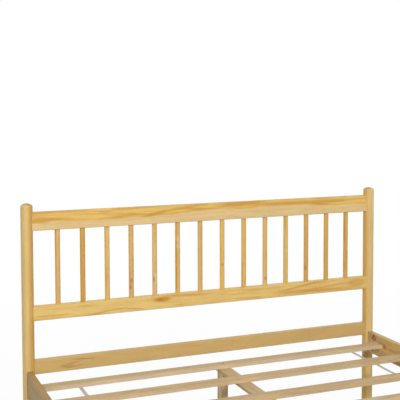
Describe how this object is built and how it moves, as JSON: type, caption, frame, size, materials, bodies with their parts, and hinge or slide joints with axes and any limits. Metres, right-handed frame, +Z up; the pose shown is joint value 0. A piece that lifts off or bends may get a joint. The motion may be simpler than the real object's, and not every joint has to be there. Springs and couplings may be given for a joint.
{
  "type": "spindle bed",
  "caption": "Wooden bed frame with round posts, a headboard of slim round spindles between flat rails, and a slatted base on a centre beam.",
  "frame": {"origin": "on the floor, in the middle of the bed's length and width", "axes": "+X to the right as seen from the foot, +Y towards the headboard along the bed, +Z up"},
  "size_m": [1.616, 2.138, 1],
  "materials": {
    "lacquered_pine": "satin clear lacquer",
    "planed_pine": "planed, thin matt lacquer",
    "beech_dowel": "dry",
    "zinc_plated_steel": "zinc plated",
    "galvanised_wire": "bright drawn wire",
    "bronzed_steel": "brown passivated",
    "woven_webbing": "flat woven ribbon",
    "nylon": "moulded"
  },
  "bodies": {
    "bed_frame": {"barrel_nuts": "bronzed_steel", "bed_bolts": "zinc_plated_steel", "bolt_washers": "zinc_plated_steel", "foot_post_left": "lacquered_pine", "foot_post_right": "lacquered_pine", "foot_rail": "lacquered_pine", "foot_rail_dowels": "beech_dowel", "head_post_left": "lacquered_pine", "head_post_right": "lacquered_pine", "headboard_bottom_rail": "lacquered_pine", "headboard_dowels": "beech_dowel", "headboard_spindle_rail": "lacquered_pine", "headboard_top_rail": "lacquered_pine", "ledger_screws": "zinc_plated_steel", "post_glides": "nylon", "side_rail_dowels": "beech_dowel", "side_rail_left": "lacquered_pine", "side_rail_right": "lacquered_pine", "slat_ledger_left": "lacquered_pine", "slat_ledger_right": "lacquered_pine", "spindle_01": "lacquered_pine", "spindle_02": "lacquered_pine", "spindle_03": "lacquered_pine", "spindle_04": "lacquered_pine", "spindle_05": "lacquered_pine", "spindle_06": "lacquered_pine", "spindle_07": "lacquered_pine", "spindle_08": "lacquered_pine", "spindle_09": "lacquered_pine", "spindle_10": "lacquered_pine", "spindle_11": "lacquered_pine", "spindle_12": "lacquered_pine", "spindle_13": "lacquered_pine", "spindle_14": "lacquered_pine"},
    "slat_base": {"centre_beam": "planed_pine", "centre_leg_foot": "planed_pine", "centre_leg_head": "planed_pine", "centre_leg_middle": "planed_pine", "end_slat_foot": "planed_pine", "end_slat_head": "planed_pine", "leg_glides": "nylon", "leg_screws": "zinc_plated_steel", "slat_01": "planed_pine", "slat_02": "planed_pine", "slat_03": "planed_pine", "slat_04": "planed_pine", "slat_05": "planed_pine", "slat_06": "planed_pine", "slat_07": "planed_pine", "slat_08": "planed_pine", "slat_screws": "zinc_plated_steel", "slat_webbing_left": "woven_webbing", "slat_webbing_right": "woven_webbing", "webbing_staples": "galvanised_wire"}
  },
  "joints": [
    {"name": "slat_base_lift", "type": "slide", "parent": "bed_frame", "child": "slat_base", "axis": [0, 0, 1], "range_m": [0, 0.4]}
  ]
}
